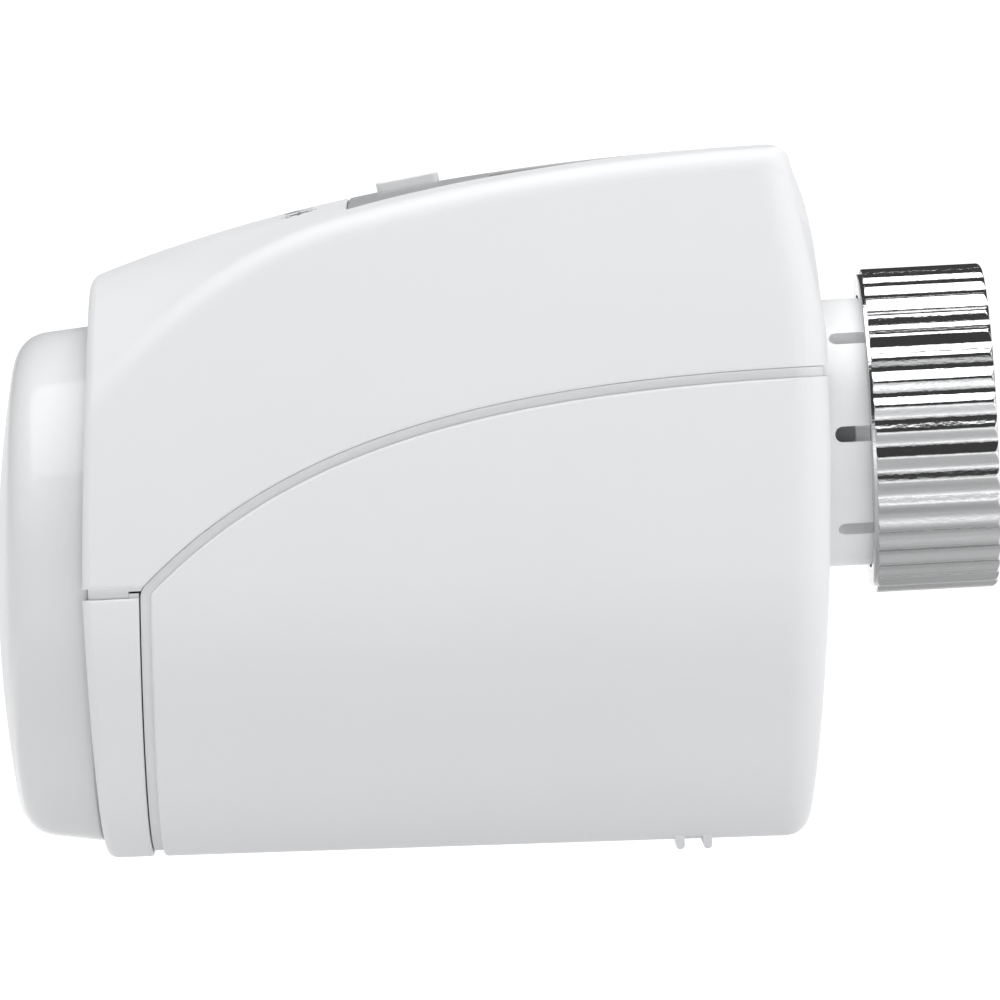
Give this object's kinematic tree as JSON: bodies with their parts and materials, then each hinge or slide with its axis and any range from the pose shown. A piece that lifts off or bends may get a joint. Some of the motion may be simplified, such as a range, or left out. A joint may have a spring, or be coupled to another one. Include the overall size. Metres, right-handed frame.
{
  "type": "motorised radiator valve head",
  "caption": "Battery-powered actuator head with a round end dial, display with push buttons on top, pull-off battery cover and a knurled union nut that screws onto a radiator valve.",
  "frame": {"origin": "centre of the union nut's open end face, on its axis", "axes": "+X along the nut's axis from the head towards the valve, +Z to the display side, dial at the -X end"},
  "size_m": [0.1022, 0.057, 0.0714],
  "materials": {
    "housing_white": "satin moulded plastic",
    "dial_white": "semi-gloss moulded plastic",
    "button_grey": "satin",
    "panel_grey": "satin",
    "lens_dark": "clear gloss over a dark print",
    "inner_white": "matt moulded plastic",
    "chrome": "polished chrome plate",
    "steel": "bright zinc plate",
    "motor_steel": "drawn steel can",
    "cell_label": "printed film sleeve, with no lettering",
    "acetal": "natural acetal",
    "guide_grey": "matt",
    "board_green": "solder mask",
    "black_plastic": "matt",
    "lcd_glass": "polished",
    "lead_red": "satin insulation",
    "lead_black": "satin insulation",
    "ribbon_grey": "satin insulation"
  },
  "bodies": {
    "head": {"upper_housing": "housing_white", "front_bezel": "housing_white", "button_strip": "panel_grey", "display_lens": "lens_dark", "chassis": "inner_white", "battery_near": "cell_label", "battery_far": "cell_label", "valve_collar": "housing_white", "plunger_guide": "guide_grey", "dial_encoder": "black_plastic", "encoder_board": "board_green", "encoder_ribbon": "ribbon_grey", "main_board": "board_green", "lcd_frame": "inner_white", "lcd_glass": "lcd_glass", "microcontroller": "black_plastic", "switch_near": "black_plastic", "switch_centre": "black_plastic", "switch_far": "black_plastic", "battery_link_contact": "steel", "battery_terminal_near": "steel", "battery_terminal_far": "steel", "battery_spring_near": "steel", "battery_spring_far": "steel", "battery_lead_near": "lead_black", "battery_lead_far": "lead_red", "motor_lead_red": "lead_red", "motor_lead_black": "lead_black", "gearbox_base": "inner_white", "gearbox_cover": "inner_white", "motor": "motor_steel", "second_gear_axle": "steel", "first_gear_axle": "steel", "housing_screw_1": "steel", "housing_screw_2": "steel", "housing_screw_3": "steel", "housing_screw_4": "steel", "gearbox_screw_1": "steel", "gearbox_screw_2": "steel", "gearbox_screw_3": "steel", "motor_screw_1": "steel", "motor_screw_2": "steel", "chassis_screw_1": "steel", "chassis_screw_2": "steel", "bezel_screw_1": "steel", "bezel_screw_2": "steel", "board_screw_1": "steel", "board_screw_2": "steel"},
    "dial": {"dial_knob": "dial_white", "dial_retaining_clip": "steel"},
    "button_near": {"button_near": "button_grey"},
    "button_centre": {"button_centre": "button_grey"},
    "button_far": {"button_far": "button_grey"},
    "cover": {"battery_cover": "housing_white"},
    "nut": {"union_nut": "chrome"},
    "output_gear": {"output_gear": "acetal"},
    "plunger": {"plunger": "acetal"},
    "second_gear": {"second_gear": "acetal"},
    "first_gear": {"first_gear": "acetal"},
    "motor_pinion": {"motor_pinion": "steel"}
  },
  "joints": [
    {"name": "dial_turn", "type": "hinge", "parent": "head", "child": "dial", "pos_m": [-0.0918, 0, -0.01143], "axis": [-0.9993, 0, 0.0366], "continuous": true},
    {"name": "nut_turn", "type": "hinge", "parent": "head", "child": "nut", "pos_m": [0, 0, 0], "axis": [1, 0, 0], "continuous": true},
    {"name": "cover_pull", "type": "slide", "parent": "head", "child": "cover", "axis": [0, 0, -1], "range_m": [0, 0.06]},
    {"name": "output_gear_turn", "type": "hinge", "parent": "head", "child": "output_gear", "pos_m": [0, 0, 0], "axis": [1, 0, 0], "range_deg": [0, 1032]},
    {"name": "plunger_stroke", "type": "slide", "parent": "head", "child": "plunger", "axis": [1, 0, 0], "range_m": [0, 0.0043]},
    {"name": "second_gear_turn", "type": "hinge", "parent": "head", "child": "second_gear", "pos_m": [0, -0.01391, -0.00373], "axis": [1, 0, 0], "range_deg": [-3096, 0]},
    {"name": "first_gear_turn", "type": "hinge", "parent": "head", "child": "first_gear", "pos_m": [0, -0.01349, 0.00827], "axis": [1, 0, 0], "range_deg": [0, 9288]},
    {"name": "motor_pinion_turn", "type": "hinge", "parent": "head", "child": "motor_pinion", "pos_m": [0, -0.00149, 0.00827], "axis": [1, 0, 0], "range_deg": [-27864, 0]},
    {"name": "button_near_press", "type": "slide", "parent": "head", "child": "button_near", "axis": [0.1409, 0, -0.99], "range_m": [0, 0.0005], "stiffness_N_per_m": 600, "springref_m": -0.0008},
    {"name": "button_centre_press", "type": "slide", "parent": "head", "child": "button_centre", "axis": [0.1409, 0, -0.99], "range_m": [0, 0.0005], "stiffness_N_per_m": 600, "springref_m": -0.0008},
    {"name": "button_far_press", "type": "slide", "parent": "head", "child": "button_far", "axis": [0.1409, 0, -0.99], "range_m": [0, 0.0005], "stiffness_N_per_m": 600, "springref_m": -0.0008}
  ],
  "couplings": [
    {"joint": "plunger_stroke", "follows": "output_gear_turn", "m_per_rad": 0.00023873},
    {"joint": "second_gear_turn", "follows": "output_gear_turn", "ratio": -3},
    {"joint": "first_gear_turn", "follows": "output_gear_turn", "ratio": 9},
    {"joint": "motor_pinion_turn", "follows": "output_gear_turn", "ratio": -27}
  ]
}
